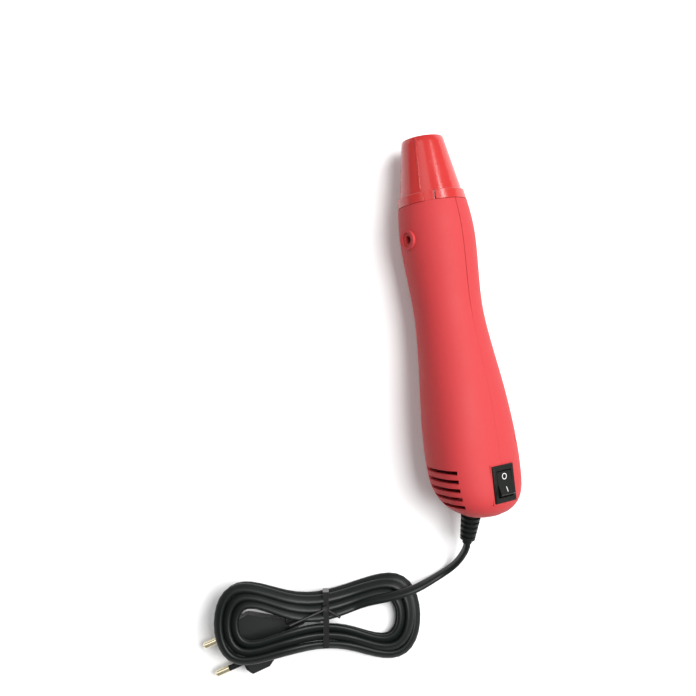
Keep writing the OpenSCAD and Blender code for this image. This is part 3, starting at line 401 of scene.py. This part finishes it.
# The housing is two half shells of satin coral plastic with a fine moulded grain. They meet
# in one plane, and their joint gapes a hair's breadth at the front and closes to the rear.
coral = finish(
    "coral_plastic", (0.41, 0.034, 0.037), smooth=0.52, rough=0.74, scale=1400, lift=0.00002,
    gloss=0.22, drift=0.03,
)
joints = {joint["name"]: joint for joint in frame["record"]["behaviour"]["joints"]}
across = Vector(joints["rocker_tilt"]["axis"])
forward = Vector(joints["fan_spin"]["axis"])
fan_place = Vector(joints["fan_spin"]["pos_m"])
shell_edge = 0.00025
parting_reach = 0.02 * mm
rear_gape = 0.03 * mm
more_gape = 0.14 * mm
gape_from = 30 * mm
gape_over = 30 * mm
for name, side in (("shell_left", -1), ("shell_right", 1)):
    shell = tool_node(name, coral, bevel=shell_edge)
    for v in shell.data.vertices:
        from_fan = v.co - fan_place
        if abs(from_fan.dot(across)) < parting_reach:
            opened = ease((from_fan.dot(forward) - gape_from) / gape_over)
            v.co += across * side * (rear_gape + more_gape * opened)
    even_shading = shell.modifiers.new("even_shading", "WEIGHTED_NORMAL")
    even_shading.keep_sharp = True

# The nozzle is a glossier, purer red, in a plastic that stands the heat. It is moulded in one
# piece with its collar, and its spigot snaps between the shells.
nozzle_red = finish(
    "nozzle_red", (0.39, 0.021, 0.019), smooth=0.14, rough=0.3, scale=260, lift=0.00001,
    gloss=0.5, drift=0.05,
)
tool_node("nozzle", nozzle_red, bevel=shell_edge)

# The rocker switch is a glossy black moulding that snaps into the flat pad of the shells. Its
# rocker tilts in the bezel, and has a white bar and a white ring printed on its two faces.
switch_black = finish(
    "switch_black", (0.006, 0.007, 0.006), smooth=0.24, rough=0.38, scale=900, lift=0.00001,
    gloss=0.3, drift=0.15,
)
rocker_edge = 0.0002
tool_node("switch_body", switch_black, bevel=soft_edge)
tool_node("switch_rocker", switch_black, bevel=rocker_edge)
outward = across.cross(forward)
pad_slope = math.radians(4)
rocker_tilt = math.radians(10)
face_place = 3.7 * mm
face_rise = 3.15 * mm


def rocker_face(side):
    """Axes on one face of the rocker: X across, Y to the nozzle and Z out of the face."""
    rocker_axes = Matrix((across, forward, outward)).transposed()
    swing = Matrix.Rotation(pad_slope - rocker_tilt, 3, "X")
    on_face = Vector((0, side * face_place, face_rise))
    place = Vector(joints["rocker_tilt"]["pos_m"]) + rocker_axes @ swing @ on_face
    slope = Matrix.Rotation(side * rocker_tilt, 3, "X")
    return Matrix.Translation(place) @ (rocker_axes @ swing @ slope).to_4x4()


def ring_order(at):
    """A number for a point of the ring, row by row and round, which orders its parts."""
    row = round(2 * at.xy.length / stroke) + 100 * round(at.z / mark_rise)
    return math.atan2(at.y, at.x) + 10 * row


def rocker_mark(name, bm, side):
    """A white mark on one face of the rocker."""
    bmesh.ops.transform(bm, matrix=rocker_face(side), verts=bm.verts)
    mark = place_mesh(name, bm)
    mark.data.materials.append(mark_white)
    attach(mark, "rocker")


mark_white = finish("mark_white", (0.75, 0.76, 0.74), smooth=0.4, rough=0.6, scale=900, lift=0.000004)
stroke = 0.36 * mm
bar_long = 3 * mm
ring_radius = 1.6 * mm
mark_rise = 0.04 * mm
ring_steps = 32
bar_bm = bmesh.new()
bmesh.ops.create_cube(bar_bm, size=1, matrix=Matrix.Diagonal((stroke, bar_long, 2 * mark_rise, 1)))
rocker_mark("mark_on", bar_bm, -1)
ring_bm = bmesh.new()
ring_place = Matrix.Translation((ring_radius, 0, 0)) @ Matrix.Rotation(math.pi / 2, 4, "X")
bmesh.ops.create_grid(ring_bm, size=0.5, matrix=ring_place @ Matrix.Diagonal((stroke, 2 * mark_rise, 1, 1)))
bmesh.ops.delete(ring_bm, geom=ring_bm.faces[:], context="FACES_ONLY")
bmesh.ops.spin(
    ring_bm, geom=ring_bm.verts[:] + ring_bm.edges[:], cent=(0, 0, 0), axis=(0, 0, 1),
    angle=2 * math.pi, steps=ring_steps, use_merge=True,
)
ring_bm.verts.sort(key=lambda v: ring_order(v.co))
ring_bm.edges.sort(key=lambda e: ring_order((e.verts[0].co + e.verts[1].co) / 2))
ring_bm.faces.sort(key=lambda f: ring_order(f.calc_center_median()))
rocker_mark("mark_off", ring_bm, 1)

# The pieces inside the housing show through the nozzle and the slots: a bright steel tube
# round mica and a wire coil, and a small motor with its fan, board, wires and screws.
drawn = (6, 1, 6)
steel = finish(
    "bright_steel", (0.62, 0.62, 0.62), smooth=0.2, rough=0.42, scale=300, lift=0.000006,
    metallic=1.0, stretch=drawn,
)
mica = finish(
    "mica", (0.5, 0.38, 0.2), smooth=0.3, rough=0.6, scale=160, lift=0.00003,
    drift=0.25, stretch=(3, 1, 1),
)
copper = finish(
    "copper", (0.72, 0.36, 0.2), smooth=0.24, rough=0.4, scale=400, lift=0.000005,
    metallic=1.0, stretch=drawn,
)
brass = finish(
    "brass", (0.8, 0.6, 0.32), smooth=0.24, rough=0.4, scale=400, lift=0.000005,
    metallic=1.0, stretch=drawn,
)
board_green = finish(
    "board_green", (0.03, 0.16, 0.06), smooth=0.3, rough=0.5, scale=500, lift=0.00001,
    drift=0.15,
)
wire_sleeve = finish(
    "wire_sleeve", (0.5, 0.46, 0.4), smooth=0.5, rough=0.7, scale=1200, lift=0.00002,
    drift=0.1,
)
inner_finish = {
    "steel": steel, "mica": mica, "copper": copper, "brass": brass, "board": board_green,
    "wire": wire_sleeve, "black_plastic": switch_black, "cord_rubber": sheath,
}
done = {
    "shell_left", "shell_right", "nozzle", "switch_body", "switch_rocker", "strain_relief",
    "plug_body", "plug_pins", "pin_sleeves", "twist_tie", "cord_lead", "cord_hank", "cord_tail",
}
for part in frame["record"]["subparts"]:
    if part["node"] not in done:
        tool_node(part["node"], inner_finish[part["material_slot"]])

# The tool lies on a white table under soft studio light: a large soft box high on its right, a
# weak one on its left, and a small one ahead that draws a bright line on the glossy nozzle.
table_half = 4
floor_bm = bmesh.new()
bmesh.ops.create_grid(floor_bm, x_segments=1, y_segments=1, size=table_half)
floor = place_mesh("floor", floor_bm)
white = finish(
    "white_table", (0.9, 0.9, 0.9), smooth=0.55, rough=0.65, scale=200, lift=0.000001,
    drift=0.0,
)
floor.data.materials.append(white)


def soft_box(name, place, aim, size, power):
    """A square area light that faces a point."""
    light = bpy.data.lights.new(name, "AREA")
    light.size = size
    light.energy = power
    obj = bpy.data.objects.new(name, light)
    obj.location = place
    obj.rotation_euler = (Vector(aim) - Vector(place)).to_track_quat("-Z", "Y").to_euler()
    bpy.context.scene.collection.objects.link(obj)


tool_middle = (-0.03, 0, 0)
nozzle_middle = (0, 0.1, 0.03)
soft_box("key_light", place=(0.74, 0.08, 1.36), aim=tool_middle, size=1.12, power=44)
soft_box("fill_light", place=(-0.48, 0.8, 1.44), aim=tool_middle, size=1, power=5)
soft_box("glint_light", place=(1.02, 0.92, 1.36), aim=nozzle_middle, size=0.26, power=5)
world = bpy.data.worlds.new("white_room")
bpy.context.scene.world = world
world.use_nodes = True
room = world.node_tree.nodes["Background"]
room.inputs["Color"].default_value = (1, 1, 1, 1)
room.inputs["Strength"].default_value = 0.3
bpy.context.scene.view_settings.view_transform = "Standard"
